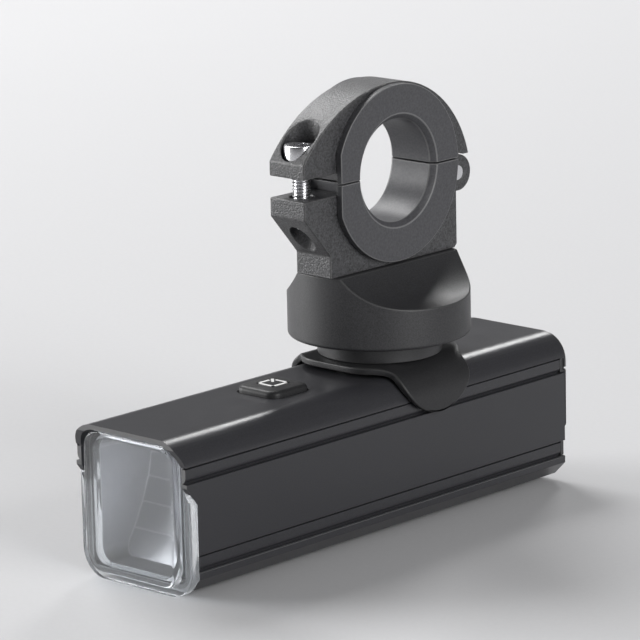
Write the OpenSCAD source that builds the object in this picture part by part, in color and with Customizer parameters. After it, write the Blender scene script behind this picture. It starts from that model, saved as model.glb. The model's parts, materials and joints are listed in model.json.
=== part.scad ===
// Bike headlight with a hinged handlebar clamp and a quarter-turn foot.
// The origin is on the handlebar's axis, midway across the clamp.
// X runs along the bar, the beam leaves towards -Y, and Z is up.

/* [Handlebar clamp] */
// Diameter of the handlebar
bar_d = 22.2; // [19:0.1:26]
// Wall of the reducer bush between bar and clamp
bush_wall = 4.8; // [3:0.1:7]
// Width of the clamp along the bar
clamp_w = 10; // [8:0.5:14]
// Wall of the cap above the bush
cap_wall = 3.05; // [2:0.05:5]
// Radius of the crown in front of its top
crown_front_r = 35.1; // [33:0.1:40]
// Radius of the crown behind its top
crown_rear_r = 25.2; // [24:0.1:28]
// Wall of the base under the bush
base_floor = 4.5; // [3.5:0.1:7]
// Wall of the base in front of and behind the bush
base_side = 4.35; // [3:0.05:6]
// Gap between the two front ears
ear_gap = 4.6; // [3:0.1:6]
// Height of the lower ear's upright front face
ear_face_h = 4.05; // [2.5:0.05:6]
// Height of the base's upright front face below the sloped one
toe_h = 4.9; // [3:0.1:7]
// Height of the plane that splits the clamp, from the bar's axis
split_z = -0.3; // [-1:0.1:1]

/* [Clamp hinge] */
// From the clamp's bore to the hinge axis
hinge_wall = 5.1; // [4.9:0.1:7]
// Height of the hinge axis, from the bar's axis
hinge_z = -4; // [-6:0.1:-3]
// Radius of the hinge knuckles
knuckle_r = 4; // [3:0.1:4.4]
// Width of the cap's middle knuckle
knuckle_w = 4.2; // [3:0.1:6]
// Diameter of the hinge pin
pin_d = 3.2; // [2:0.1:4]

/* [Clamp bolt] */
// Thread diameter of the clamp bolt
bolt_d = 4; // [3:0.1:5]
// Diameter of the bolt's head
bolt_head_d = 7; // [5.5:0.1:8.5]
// Length of the bolt under its head
bolt_len = 14; // [12:0.1:16]
// From the clamp's bore to the bolt's axis
bolt_wall = 7.5; // [7:0.1:9]
// From the bolt's axis to the front of the ears
ear_nose = 4.5; // [4:0.1:6]
// Thickness of the cap's ear under the bolt's head
bolt_seat_h = 2.6; // [2:0.1:4]

/* [Reducer bush] */
// Radius of the bush's flange
flange_r = 19.2; // [17:0.1:22]
// How far the middle of the flange's outline lies below the bar's axis
flange_drop = 0.5; // [0:0.1:0.8]
// Thickness of the flange
flange_t = 1.6; // [0.8:0.1:2]
// From the bar's axis to the flat on the front of the flange
flange_flat = 18; // [16.5:0.1:22]
// Lead-in chamfer at the bush's mouth
bush_chamfer = 1.2; // [0.5:0.1:1.5]

/* [Mount puck] */
// Radius of the puck
puck_r = 19.83; // [18:0.01:24]
// Height of the puck
puck_h = 15.65; // [14.5:0.05:20]
// Radius of the side scoops
scoop_r = 19; // [15:0.5:26]
// Depth of the scoops below the puck's top
scoop_drop = 7.15; // [4:0.05:9]
// Width of the ledge beside the clamp before a scoop starts
scoop_ledge = 1.15; // [0.5:0.05:3]
// Rounding of the puck's bottom edge
puck_round = 0.8; // [0.3:0.1:1.5]
// Thickness of the socket's lip
lip_t = 1.75; // [1.2:0.05:3]
// Distance of each puck screw from the middle
puck_screw_y = 9.5; // [8:0.5:10.5]

/* [Quarter-turn foot and saddle] */
// Radius of the neck
neck_r = 13.5; // [11:0.1:14]
// Height of the neck that shows between puck and saddle
neck_h = 4.15; // [2:0.05:8]
// How far the bayonet tabs stand out of the neck
tab_reach = 2.5; // [1.2:0.1:3]
// Width of a bayonet tab
tab_w = 12; // [8:0.5:14]
// Thickness of a bayonet tab
tab_t = 2.2; // [1.5:0.1:3]
// Distance of each foot screw from the middle
foot_screw_x = 6.5; // [5:0.5:8]
// Height of the saddle's top above the body
saddle_h = 2.4; // [2.1:0.1:4]
// Thickness of the saddle's sheet
sheet_t = 1.5; // [1:0.1:1.8]
// Radius of the pad between the sheet and the body
pad_r = 10.5; // [9:0.5:12]
// Length of the saddle along the lamp
saddle_len = 30.4; // [29:0.1:32]
// Radius of the tongues' round ends
tongue_r = 10.4; // [9:0.1:12]
// How far the tongues hang below the body's top
tongue_drop = 8.5; // [7:0.1:9.5]
// Radius of the hollows between the saddle's plate and its tongues
hollow_r = 6; // [4:0.1:7]

/* [Lamp body] */
// Width of the body
body_w = 32.1; // [30:0.1:36]
// Height of the body
body_h = 32.4; // [32:0.1:38]
// Length of the body from the hood's front to its rear end
body_len = 120.4; // [118:0.1:140]
// From the bar's axis forward to the hood's front
body_ahead = 77.4; // [76:0.1:84]
// Radius of the body's upper corners
body_top_r = 6.3; // [4:0.1:8]
// Chamfer of the body's lower corners
body_chamfer = 3.1; // [1.5:0.1:4]
// Wall of the body's roof
roof_t = 2.2; // [1.8:0.1:3]
// Wall of the body's floor
floor_t = 1.6; // [1.2:0.1:2.5]
// Wall of the body's sides, behind the channels
side_t = 3.15; // [2.6:0.05:4]
// From the body's top to the upper side channel
upper_channel_drop = 5.3; // [4:0.1:7]
// From the body's top to the lower side channel
lower_channel_drop = 24.3; // [20:0.1:25]
// Height of a side channel
channel_h = 3.5; // [2:0.1:4]
// Depth of a side channel's step
channel_step = 0.35; // [0.1:0.05:0.6]
// Radius of the channels' rolled lower edge
channel_roll = 1.5; // [0.8:0.1:1.8]
// Height of the slot that ends a channel's rolled edge
channel_slot = 0.2; // [0.1:0.05:0.4]
// How far the hood stands in front of the body's face
hood_reach = 4.4; // [3:0.1:6]
// Wall of the hood
hood_t = 1; // [0.8:0.1:1.4]
// Wall of the hood's sides
hood_side_t = 1.5; // [1.4:0.1:1.8]

/* [Lens and reflector] */
// Thickness of the lens's flange and ears
lens_flange_t = 2; // [1.2:0.1:2.6]
// Width of the flange beside the lens's raised window
lens_ledge = 2.7; // [2:0.1:3.5]
// Height of the flange below the lens's raised window
lens_low_ledge = 2; // [1:0.1:3]
// How far the lens's front stays behind the hood's front
lens_inset = 0.6; // [0.2:0.1:1]
// Bevel round the lens's front
lens_bevel = 0.8; // [0.3:0.1:1]
// How far the lens hangs below the body
lens_drop = 1.2; // [0:0.1:2]
// Radius of the lens's lower corners
lens_low_r = 6.3; // [5:0.1:8]
// From the body's top to the top of the lens's ears
ear_drop = 9.7; // [9:0.1:12]
// Height of the slope on the lens's ears
ear_slope_h = 3.8; // [2:0.1:6]
// Half the width of the reflector's mouth
mouth_half_w = 11.15; // [9:0.05:11.6]
// Depth of the reflector behind its mouth
reflector_depth = 16; // [14:0.1:20]
// Wall of the reflector
reflector_wall = 0.7; // [0.5:0.1:1]
// How far the reflector's foot comes forward
reflector_sweep = 9.5; // [6:0.5:12]
// Number of facets down the reflector
reflector_rows = 5; // [3:1:8]
// Width of the light source
emitter_w = 3.6; // [2:0.1:5]

/* [Power button] */
// Width of the button
button_w = 11.7; // [8:0.1:14]
// From the bar's axis forward to the button's middle
button_ahead = 33.6; // [26:0.1:36]
// How far the button stands out of the body
button_proud = 1.7; // [0.9:0.1:2.5]
// Travel of the button
button_travel = 0.6; // [0.3:0.1:0.8]
// Corner radius of the button
button_r = 2.5; // [1.5:0.1:4]

/* [Battery and boards] */
// Diameter of the battery cell
cell_d = 21.2; // [18:0.1:21.5]
// From the bar's axis forward to the cell's front end
cell_ahead = 42; // [40:0.1:44]
// From the cell's rear end to the body's rear end
rear_room = 15; // [14.5:0.1:24]
// Thickness of the circuit boards
board_t = 1.4; // [0.8:0.1:1.6]

/* [Rear end] */
// Thickness of the raised cover at the rear
cover_t = 1.1; // [0.8:0.1:2]
// From the body's top to the port cover's hinge
cover_hinge_drop = 8.6; // [7:0.1:10]
// From the body's top to the port cover's lower edge
cover_low_drop = 22.9; // [21:0.1:25]
// From the body's top to the middle of the charging port
port_drop = 15.8; // [15:0.1:16.5]
// Width of the recess round the charging port
port_w = 13.6; // [11:0.1:15]
// Height of the recess round the charging port
port_h = 8; // [6:0.1:8.6]
// Depth of the recess round the charging port
port_depth = 4.3; // [3:0.1:5]

/* [Hidden] */
$fn = 64;
// Clearance between fixed pieces that fit together
fit = 0.05;
// Clearance of a pin that is pressed into its hole
press = 0.02;
// Running clearance of a pin in its hole
run = 0.05;
// Clearance of a plug in the space that it closes
slip = 0.1;
// Clearance of a screw in a hole that it passes through
pass = 0.2;
// Clearance between moving pieces that don't touch
clear = 0.3;
// Reach of a cut past the solid that it cuts
over = 1;
// Larger than any cross-section
big = 100;
// Corner radius of an outline whose corner is cut away
cut_away_r = 0.1;
// Room behind a screw's tip
tip_room = 0.3;

bore_r = bar_d / 2 + bush_wall;
crown_top_z = bore_r + cap_wall;
base_half_y = bore_r + base_side;
base_low_z = -bore_r - base_floor;
// Chamfer at the rear foot of the base
heel_chamfer = 0.8;
// Half of the gap where the clamp and the bush are split
half_split = 0.15;
hinge_y = bore_r + hinge_wall;
// How far the pin's ends stay inside the knuckles
pin_inset = 0.2;
bolt_y = -bore_r - bolt_wall;
ear_front_y = bolt_y - ear_nose;
cap_ear_z = split_z + ear_gap / 2;
base_ear_z = split_z - ear_gap / 2;
bolt_seat_z = cap_ear_z + bolt_seat_h;
bolt_head_h = bolt_d;
// Width of the bolt's hexagon socket across its flats
bolt_key_w = 0.75 * bolt_d;
// Room round the bolt's head
counterbore_gap = 0.6;
counterbore_r = bolt_head_d / 2 + counterbore_gap;
// Room round the bolt's tip as the cap swings
bolt_swing = 0.55;

puck_low_z = base_low_z - puck_h;
scoop_z = base_low_z - scoop_drop + scoop_r;
scoop_x = clamp_w / 2 + scoop_ledge + sqrt(pow(scoop_r, 2) - pow(scoop_r - scoop_drop, 2));
lip_r = neck_r + clear;
// Height between the socket's lip and the tabs that rest above it
tab_gap = 0.1;
tab_low_z = puck_low_z + lip_t + tab_gap;
tab_top_z = tab_low_z + tab_t;
// Room round the tabs in the socket
tab_room = 0.4;
socket_r = neck_r + tab_reach + tab_room;
// Room above the tabs in the socket
socket_headroom = 0.6;
socket_top_z = tab_top_z + socket_headroom;
// Room on each side of a tab in the notch that it enters by
notch_gap = 0.6;
screw_r = 2;
screw_head_r = 3.5;
screw_head_h = 2.6;
// How far the puck screws' heads lie above the socket's ceiling
puck_head_sink = 0.5;
puck_screw_seat_z = socket_top_z + screw_head_h + puck_head_sink;
// How far the puck screws' tips rise past the lowest point of the clamp's bore
puck_screw_rise = 0.9;
puck_screw_top_z = -bore_r + puck_screw_rise;

saddle_top_z = puck_low_z - neck_h;
body_top_z = saddle_top_z - saddle_h;
body_low_z = body_top_z - body_h;
body_half_w = body_w / 2;
hood_y = -body_ahead;
face_y = hood_y + hood_reach;
rear_y = hood_y + body_len;
cavity_half_w = body_half_w - side_t;
cavity_top_z = body_top_z - roof_t;
cavity_low_z = body_low_z + floor_t;
cavity_top_r = 3.2;
cavity_low_r = 1.5;
upper_channel_z = body_top_z - upper_channel_drop;
lower_channel_z = body_top_z - lower_channel_drop;
// Height over which the hood's side edge leans back, above the upper channel
hood_lean_h = 3.6;
pocket_half_w = body_half_w - hood_side_t;
pocket_top_z = body_top_z - hood_t;
pocket_r = body_top_r - hood_t;
foot_screw_r = 1.5;
foot_head_r = 2.75;
foot_head_h = 2.4;
// How far the foot screws' heads lie below the foot's top
foot_head_sink = 0.3;
foot_seat_z = tab_top_z - foot_head_h - foot_head_sink;
tongue_gap = 0.1;
tongue_z = body_top_z - tongue_drop + tongue_r;
// How far the hollows' middles lie outside the body's sides
hollow_out = 0.45;
hollow_x = body_half_w + hollow_out;
hollow_y = tongue_r + tongue_gap + hollow_r;

lens_y = hood_y + lens_inset;
lens_flange_y = face_y - lens_flange_t;
lens_half_w = body_half_w - fit;
// Room beside the lens inside the hood
lens_side_gap = 0.15;
lens_neck_half_w = pocket_half_w - lens_side_gap;
lens_top_z = pocket_top_z - slip;
// How much tighter the window's upper corners are than the hood's
window_round = 1;
lens_low_z = body_low_z - lens_drop;
ear_top_z = body_top_z - ear_drop;
// How far the body's sides reach past the lens's flange
side_lip = 0.9;
// The slope on the lens's ears runs up to the front edge of the body's sides
side_y = lens_flange_y - side_lip;
gasket_t = 0.8;
gasket_w = 0.8;
// Land between the cavity and the lens's seal at its sides, its top and its foot
gasket_side_land = 0.45;
gasket_top_land = 0.12;
gasket_low_land = 0.3;
gasket_half_w = cavity_half_w + gasket_side_land + gasket_w;
gasket_top_z = cavity_top_z + gasket_top_land + gasket_w;
gasket_low_z = cavity_low_z - gasket_low_land - gasket_w;
gasket_top_r = 4;
gasket_low_r = 3.5;

mouth_y = face_y;
mouth_top_z = cavity_top_z - slip;
mouth_low_z = cavity_low_z + slip;
mouth_r = 3.1;
reflector_half_w = mouth_half_w + reflector_wall;
reflector_r = mouth_r + reflector_wall;
reflector_back_y = mouth_y + reflector_depth;
// From the reflector's mouth back to the LED board
led_board_setback = 5.6;
// How far the LED board reaches behind the reflector
led_board_tail = 4.5;
led_board_half_w = 9;
// Room between the LED board and the step in the reflector's roof
led_board_gap = 0.6;
led_board_front_y = mouth_y + led_board_setback;
led_board_rear_y = reflector_back_y + led_board_tail;
led_board_low_z = cavity_top_z - fit - board_t;
reflector_roof_z = led_board_low_z - fit;
bowl_top_z = reflector_roof_z - reflector_wall;
bowl_low_z = mouth_low_z + reflector_wall;
emitter_y = (led_board_front_y + reflector_back_y) / 2;
emitter_h = 0.8;
// Room round the light source in the reflector's roof
emitter_gap = 0.8;

button_y = -button_ahead;
button_flange_t = 0.8;
// How far the button's flange reaches past its key
button_flange = 1.1;
button_low_z = cavity_top_z - fit - button_flange_t;
button_top_z = body_top_z + button_proud;
switch_top_z = button_low_z - button_travel - slip;
switch_w = 6;
plunger_r = 1.7;
plunger_h = 0.65;
switch_h = 1.1;

cell_r = cell_d / 2;
cell_front_y = -cell_ahead;
cell_rear_y = rear_y - rear_room;
// Floor of the cradle under the cell
cradle_floor = 1;
cell_z = cavity_low_z + cradle_floor + cell_r;
contact_t = 0.3;
contact_w = 6;
cradle_end_t = 2.8;
cradle_front_y = cell_front_y - contact_t - 2 * fit - cradle_end_t;
cradle_rear_y = cell_rear_y + contact_t + 2 * fit + cradle_end_t;
board_top_z = switch_top_z - plunger_h - switch_h;
board_low_z = board_top_z - board_t;
cradle_top_z = board_low_z;
// Room between the cradle and the body
cradle_gap = 0.2;
cradle_half_w = cavity_half_w - cradle_gap;
// How far the cradle's long sides stay below the cell's middle
cradle_side_drop = 2;
// Room beside the main board
board_side_gap = 1.4;
board_half_w = cavity_half_w - board_side_gap;
board_screw_r = 1;
board_screw_head_r = 1.8;
board_screw_head_h = 0.9;
// How deep the board screws go into the cradle
board_screw_bite = 4;
// From the main board's edge to its screws
board_screw_inset = 2.5;
board_screw_x = board_half_w - board_screw_inset;
lead_r = 0.6;
lead_x = 4;
// How far the leads lie on the LED board and on the main board
led_board_lap = 3.2;
main_board_lap = 2;

// Wall behind the recess round the charging port
port_back = 1;
port_r = 2;
cap_t = port_depth + port_back;
cap_inner_y = rear_y - cap_t;
port_z = body_top_z - port_drop;
cover_hinge_z = body_top_z - cover_hinge_drop;
cover_low_z = body_top_z - cover_low_drop;
cover_gap = 0.06;
cover_mid_y = rear_y + cover_gap + cover_t / 2;
cover_edge = 0.4;
// Thickness of the lugs in the side channels
lug_t = 1;
lug_y = rear_y - lug_t;
notch_y = lug_y - pass;
// From the body's rear end to the rear seal's groove
rear_groove_set = 3.2;
rear_groove_y = rear_y - rear_groove_set;
rear_groove_w = 1;
rear_groove_d = 0.8;
rear_screw_r = 1.25;
rear_screw_head_r = 2.4;
rear_screw_head_h = 1.5;
rear_screw_x = 8.4;
// Height of the rear screws above the body's underside
rear_screw_rise = 5;
rear_screw_z = body_low_z + rear_screw_rise;
// How deep the rear screws go into the cradle
rear_screw_bite = 2;
rear_screw_len = rear_y - rear_screw_head_h - cradle_rear_y + rear_screw_bite;
usb_board_half_w = 7;
// Charging socket: width, height, length, corner radius, wall and back wall
port_shell_w = 9;
port_shell_h = 3.3;
port_shell_len = 7;
port_shell_r = 1.2;
port_shell_wall = 0.4;
port_shell_back = 1;
port_shell_low_z = port_z - port_shell_h / 2;

// A (y, z) outline drawn out along the bar, centred on x
module along_bar(width, x = 0) {
    translate([x, 0, 0])
        rotate([90, 0, 90])
            linear_extrude(width, center = true)
                children();
}

// An (x, z) outline drawn out along the lamp
module along_lamp(front_y, back_y) {
    translate([0, back_y, 0])
        rotate([90, 0, 0])
            linear_extrude(back_y - front_y)
                children();
}

// A round bar along Y
module rod_y(r, front_y, back_y) {
    translate([0, back_y, 0])
        rotate([90, 0, 0])
            cylinder(r = r, h = back_y - front_y);
}

// A block from its two corners
module block(low, high) {
    translate(low)
        cube(high - low);
}

// An upright rounded rectangle, centred on x, with its own radius below and above
module tray(half_w, low_z, top_z, low_r, top_r) {
    translate([-half_w, low_z + low_r])
        square([2 * half_w, top_z - low_z - low_r - top_r]);
    for (end = [[low_z, low_z + low_r, low_r], [top_z - top_r, top_z - top_r, top_r]]) {
        translate([end[2] - half_w, end[0]])
            square([2 * (half_w - end[2]), end[2]]);
        for (side = [-1, 1])
            translate([side * (half_w - end[2]), end[1]])
                circle(end[2]);
    }
}

// A flat rounded square, centred
module round_square(width, r) {
    square([width, width - 2 * r], center = true);
    square([width - 2 * r, width], center = true);
    for (x = [-1, 1], y = [-1, 1])
        translate([x, y] * (width / 2 - r))
            circle(r);
}

// The space inside the two arcs of the crown
module crown_outline() {
    intersection() {
        translate([0, crown_top_z - crown_front_r])
            circle(crown_front_r);
        translate([ear_front_y, -big])
            square([-ear_front_y, 2 * big]);
    }
    intersection() {
        translate([0, crown_top_z - crown_rear_r])
            circle(crown_rear_r);
        translate([0, -big])
            square([big, 2 * big]);
    }
}

// A disc on the hinge axis
module hinge_disc(r) {
    translate([hinge_y, hinge_z])
        circle(r);
}

// The bolt's hole, straight down through an ear
module bolt_hole(r, low_z, top_z) {
    translate([0, bolt_y, low_z])
        cylinder(r = r, h = top_z - low_z);
}

module clamp_base() {
    slot_w = knuckle_w + 2 * clear;
    color([0.15, 0.15, 0.16])
    difference() {
        union() {
            along_bar(clamp_w)
                difference() {
                    polygon([
                        [ear_front_y, base_ear_z],
                        [ear_front_y, base_ear_z - ear_face_h],
                        [-base_half_y, base_low_z + toe_h],
                        [-base_half_y, base_low_z],
                        [base_half_y - heel_chamfer, base_low_z],
                        [base_half_y, base_low_z + heel_chamfer],
                        [base_half_y, split_z - half_split],
                        [0, split_z - half_split],
                        [0, base_ear_z]
                    ]);
                    circle(bore_r);
                }
            along_bar(clamp_w)
                hinge_disc(knuckle_r);
        }
        along_bar(slot_w) {
            hinge_disc(knuckle_r + clear);
            translate([0, hinge_z])
                square(big);
        }
        along_bar(clamp_w + over)
            hinge_disc(pin_d / 2 + press);
        bolt_hole(bolt_d / 2 + bolt_swing, base_low_z - over, base_ear_z + over);
        for (side = [-1, 1])
            translate([0, side * puck_screw_y, base_low_z - over])
                cylinder(r = screw_r + fit, h = puck_screw_top_z - base_low_z + over + tip_room);
    }
}

module clamp_cap() {
    outer_w = (clamp_w - knuckle_w) / 2;
    color([0.15, 0.15, 0.16])
    difference() {
        union() {
            difference() {
                along_bar(clamp_w)
                    intersection() {
                        crown_outline();
                        union() {
                            translate([ear_front_y, cap_ear_z])
                                square([-ear_front_y, big]);
                            translate([0, split_z + half_split])
                                square([big, big]);
                        }
                    }
                for (side = [-1, 1])
                    along_bar(outer_w + over, side * (knuckle_w + outer_w + over) / 2)
                        hinge_disc(knuckle_r + clear);
            }
            along_bar(knuckle_w) {
                hinge_disc(knuckle_r);
                intersection() {
                    crown_outline();
                    translate([hinge_y - knuckle_r, hinge_z])
                        square([2 * knuckle_r, -hinge_z + over]);
                }
            }
        }
        along_bar(clamp_w + over)
            circle(bore_r);
        along_bar(clamp_w + over)
            hinge_disc(pin_d / 2 + run);
        bolt_hole(bolt_d / 2 + pass, cap_ear_z - over, bolt_seat_z + over);
        bolt_hole(counterbore_r, bolt_seat_z, crown_top_z + over);
    }
}

module hinge_pin() {
    color([0.7, 0.7, 0.72])
    along_bar(clamp_w - 2 * pin_inset)
        hinge_disc(pin_d / 2);
}

module clamp_bolt() {
    key_r = bolt_key_w / 2 / cos(30);
    color([0.78, 0.78, 0.8])
    difference() {
        union() {
            bolt_hole(bolt_head_d / 2, bolt_seat_z, bolt_seat_z + bolt_head_h);
            bolt_hole(bolt_d / 2, bolt_seat_z - bolt_len, bolt_seat_z);
        }
        translate([0, bolt_y, bolt_seat_z + bolt_head_h / 2])
            cylinder(r = key_r, h = bolt_head_h, $fn = 6);
    }
}

// The whole flanged bush, before it is split
module bush_ring() {
    inner_r = bar_d / 2;
    half_w = clamp_w / 2 + flange_t;
    difference() {
        union() {
            along_bar(clamp_w + flange_t)
                circle(bore_r - fit);
            for (side = [-1, 1])
                along_bar(flange_t - fit, side * (clamp_w + flange_t + fit) / 2)
                    intersection() {
                        translate([0, -flange_drop])
                            circle(flange_r);
                        translate([-flange_flat, -big])
                            square(2 * big);
                    }
        }
        along_bar(2 * half_w + over)
            circle(inner_r);
        for (side = [-1, 1])
            translate([side * (half_w - bush_chamfer), 0, 0])
                rotate([0, side * 90, 0])
                    cylinder(r1 = inner_r, r2 = inner_r + 2 * bush_chamfer, h = 2 * bush_chamfer);
    }
}

// One half of the bush, above or below the split
module bush_half(side) {
    color([0.2, 0.2, 0.21])
    intersection() {
        bush_ring();
        translate([0, 0, split_z + side * (half_split + big / 2)])
            cube(big, center = true);
    }
}

module lower_bush() {
    bush_half(-1);
}

module upper_bush() {
    bush_half(1);
}

// A round-headed screw that points up, with its seat at z = 0
module screw_up(r, head_r, head_h, length) {
    key_r = 0.8 * r;
    difference() {
        union() {
            cylinder(r = r, h = length);
            translate([0, 0, -head_h])
                cylinder(r = head_r, h = head_h);
        }
        translate([0, 0, -head_h - over])
            cylinder(r = key_r, h = head_h / 2 + over, $fn = 6);
    }
}

module mount_puck() {
    notch_w = tab_w + 2 * notch_gap;
    color([0.12, 0.12, 0.13])
    difference() {
        rotate_extrude() {
            translate([0, puck_low_z + puck_round])
                square([puck_r, puck_h - puck_round]);
            translate([0, puck_low_z])
                square([puck_r - puck_round, puck_h]);
            translate([puck_r - puck_round, puck_low_z + puck_round])
                circle(puck_round);
        }
        for (side = [-1, 1])
            translate([side * scoop_x, 0, scoop_z])
                rotate([90, 0, 0])
                    cylinder(r = scoop_r, h = 2 * puck_r + over, center = true);
        translate([0, 0, puck_low_z - over])
            cylinder(r = lip_r, h = lip_t + 2 * over);
        translate([0, 0, puck_low_z + lip_t])
            cylinder(r = socket_r, h = socket_top_z - puck_low_z - lip_t);
        intersection() {
            translate([0, 0, puck_low_z - over])
                cylinder(r = socket_r, h = lip_t + 2 * over);
            cube([2 * puck_r, notch_w, big], center = true);
        }
        for (side = [-1, 1])
            translate([0, side * puck_screw_y, socket_top_z - over]) {
                cylinder(r = screw_r + pass, h = puck_h);
                cylinder(r = screw_head_r + pass, h = puck_screw_seat_z - socket_top_z + over);
            }
    }
}

module puck_screws() {
    color([0.6, 0.6, 0.62])
    for (side = [-1, 1])
        translate([0, side * puck_screw_y, puck_screw_seat_z])
            screw_up(screw_r, screw_head_r, screw_head_h, puck_screw_top_z - puck_screw_seat_z);
}

module turn_foot() {
    color([0.2, 0.2, 0.21])
    difference() {
        union() {
            translate([0, 0, saddle_top_z])
                cylinder(r = neck_r, h = tab_top_z - saddle_top_z);
            intersection() {
                translate([0, 0, tab_low_z])
                    cylinder(r = neck_r + tab_reach, h = tab_t);
                cube([tab_w, 2 * puck_r, big], center = true);
            }
        }
        for (side = [-1, 1])
            translate([side * foot_screw_x, 0, 0]) {
                translate([0, 0, foot_seat_z])
                    cylinder(r = foot_head_r + pass, h = big);
                translate([0, 0, saddle_top_z - over])
                    cylinder(r = foot_screw_r + pass, h = big);
            }
    }
}

module foot_screws() {
    color([0.6, 0.6, 0.62])
    for (side = [-1, 1])
        translate([side * foot_screw_x, 0, foot_seat_z])
            rotate([180, 0, 0])
                screw_up(foot_screw_r, foot_head_r, foot_head_h, foot_seat_z - cavity_top_z - slip);
}

// Side view of the saddle: top plate and round tongue
module saddle_side_outline() {
    translate([0, tongue_z])
        circle(tongue_r);
    translate([-saddle_len / 2, body_top_z + tongue_gap])
        square([saddle_len, saddle_h]);
}

module saddle_bracket() {
    inner_half_w = body_half_w + tongue_gap;
    inner_r = body_top_r + tongue_gap;
    reach_z = body_top_z - tongue_drop - over;
    color([0.13, 0.13, 0.14])
    difference() {
        union() {
            intersection() {
                along_lamp(-saddle_len / 2, saddle_len / 2)
                    difference() {
                        tray(inner_half_w + sheet_t, reach_z, saddle_top_z, cut_away_r, inner_r + sheet_t);
                        tray(inner_half_w, reach_z - over, saddle_top_z - sheet_t, cut_away_r, inner_r);
                    }
                along_bar(2 * body_w)
                    saddle_side_outline();
            }
            translate([0, 0, body_top_z])
                cylinder(r = pad_r, h = saddle_h);
        }
        for (x = [-1, 1], y = [-1, 1])
            translate([x * hollow_x, y * hollow_y, reach_z - over])
                cylinder(r = hollow_r, h = saddle_top_z - reach_z + 2 * over);
        for (side = [-1, 1])
            translate([side * foot_screw_x, 0, body_top_z - over])
                cylinder(r = foot_screw_r + pass, h = saddle_h + 2 * over);
    }
}

// One side channel: a shallow step whose lower edge rolls in
module side_channel(top_z) {
    low_z = top_z - channel_h;
    step_x = body_half_w - channel_step;
    roll_x = step_x - channel_roll;
    slot_x = roll_x + sqrt(pow(channel_roll, 2) - pow(channel_roll - channel_slot, 2));
    translate([step_x, low_z])
        square([channel_step + over, channel_h]);
    difference() {
        translate([slot_x, low_z])
            square([step_x - slot_x + fit, channel_roll]);
        translate([roll_x, low_z + channel_roll])
            circle(channel_roll);
    }
}

// Cross-section of the extruded body, without its cavity
module body_outline() {
    difference() {
        tray(body_half_w, body_low_z, body_top_z, cut_away_r, body_top_r);
        for (side = [0, 1])
            mirror([side, 0]) {
                side_channel(upper_channel_z);
                side_channel(lower_channel_z);
                polygon([
                    [body_half_w - body_chamfer, body_low_z - fit],
                    [body_half_w + fit, body_low_z - fit],
                    [body_half_w + fit, body_low_z + body_chamfer]
                ]);
            }
    }
}

// What is cut off in front of the body's sides, seen from the side
module front_cut() {
    polygon([
        [hood_y - over, upper_channel_z + hood_lean_h],
        [hood_y, upper_channel_z + hood_lean_h],
        [side_y, upper_channel_z],
        [side_y, ear_top_z + fit],
        [face_y, ear_top_z - ear_slope_h + fit],
        [face_y, body_low_z - over],
        [hood_y - over, body_low_z - over]
    ]);
}

// The lens's seal ring, grown by a clearance
module gasket_ring(grow) {
    difference() {
        tray(gasket_half_w + grow, gasket_low_z - grow, gasket_top_z + grow, gasket_low_r, gasket_top_r);
        tray(gasket_half_w - gasket_w - grow, gasket_low_z + gasket_w + grow,
             gasket_top_z - gasket_w - grow, gasket_low_r - gasket_w, gasket_top_r - gasket_w);
    }
}

module cavity_outline(shrink) {
    tray(cavity_half_w - shrink, cavity_low_z + shrink, cavity_top_z - shrink, cavity_low_r, cavity_top_r);
}

module body_shell() {
    color([0.05, 0.05, 0.055])
    difference() {
        along_lamp(hood_y, rear_y)
            body_outline();
        along_lamp(hood_y - over, rear_y + over)
            cavity_outline(0);
        along_lamp(hood_y - over, face_y)
            tray(pocket_half_w, body_low_z - big, pocket_top_z, cut_away_r, pocket_r);
        along_lamp(face_y - over, face_y + gasket_t)
            gasket_ring(fit);
        along_bar(body_w + over)
            front_cut();
        for (top_z = [upper_channel_z, lower_channel_z])
            block([-body_w, notch_y, top_z - channel_h], [body_w, rear_y + over, top_z]);
        translate([0, button_y, cavity_top_z - over])
            linear_extrude(roof_t + 2 * over)
                round_square(button_w + 2 * clear, button_r + clear);
        for (side = [-1, 1])
            translate([side * foot_screw_x, 0, cavity_top_z - over])
                cylinder(r = foot_screw_r + fit, h = roof_t + 2 * over);
    }
}

// Front view of the lens's raised window, drawn in by an inset
module window_outline(inset) {
    low_z = lens_low_z + lens_low_ledge + inset;
    tray(lens_half_w - lens_ledge - inset, low_z, lens_top_z - inset,
         lens_low_r - lens_low_ledge - inset, pocket_r - window_round - inset);
}

// Front view of the open mouth behind the lens
module mouth_outline() {
    tray(mouth_half_w, bowl_low_z, mouth_top_z - reflector_wall, mouth_r, mouth_r);
}

module lens() {
    slice = 0.02;
    shoulder = 0.3 * lens_bevel;
    color([0.85, 0.88, 0.9, 0.4])
    difference() {
        union() {
            along_lamp(lens_flange_y, face_y - fit) {
                tray(lens_neck_half_w, lens_low_z + lens_low_r, lens_top_z, cut_away_r, pocket_r);
                tray(lens_half_w, lens_low_z, ear_top_z, lens_low_r, cut_away_r);
            }
            along_lamp(lens_y + lens_bevel, lens_flange_y)
                window_outline(0);
            hull() {
                along_lamp(lens_y + lens_bevel, lens_y + lens_bevel + slice)
                    window_outline(0, $fn = 32);
                along_lamp(lens_y + shoulder, lens_y + shoulder + slice)
                    window_outline(shoulder, $fn = 32);
                along_lamp(lens_y, lens_y + slice)
                    window_outline(lens_bevel, $fn = 32);
            }
        }
        for (side = [-1, 1])
            along_bar(body_w, side * (lens_neck_half_w + body_half_w))
                polygon([
                    [face_y, ear_top_z - ear_slope_h],
                    [side_y, ear_top_z],
                    [hood_y - over, ear_top_z],
                    [hood_y - over, body_top_z],
                    [face_y, body_top_z]
                ]);
        along_lamp(lens_flange_y, face_y + over)
            mouth_outline();
    }
}

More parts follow.
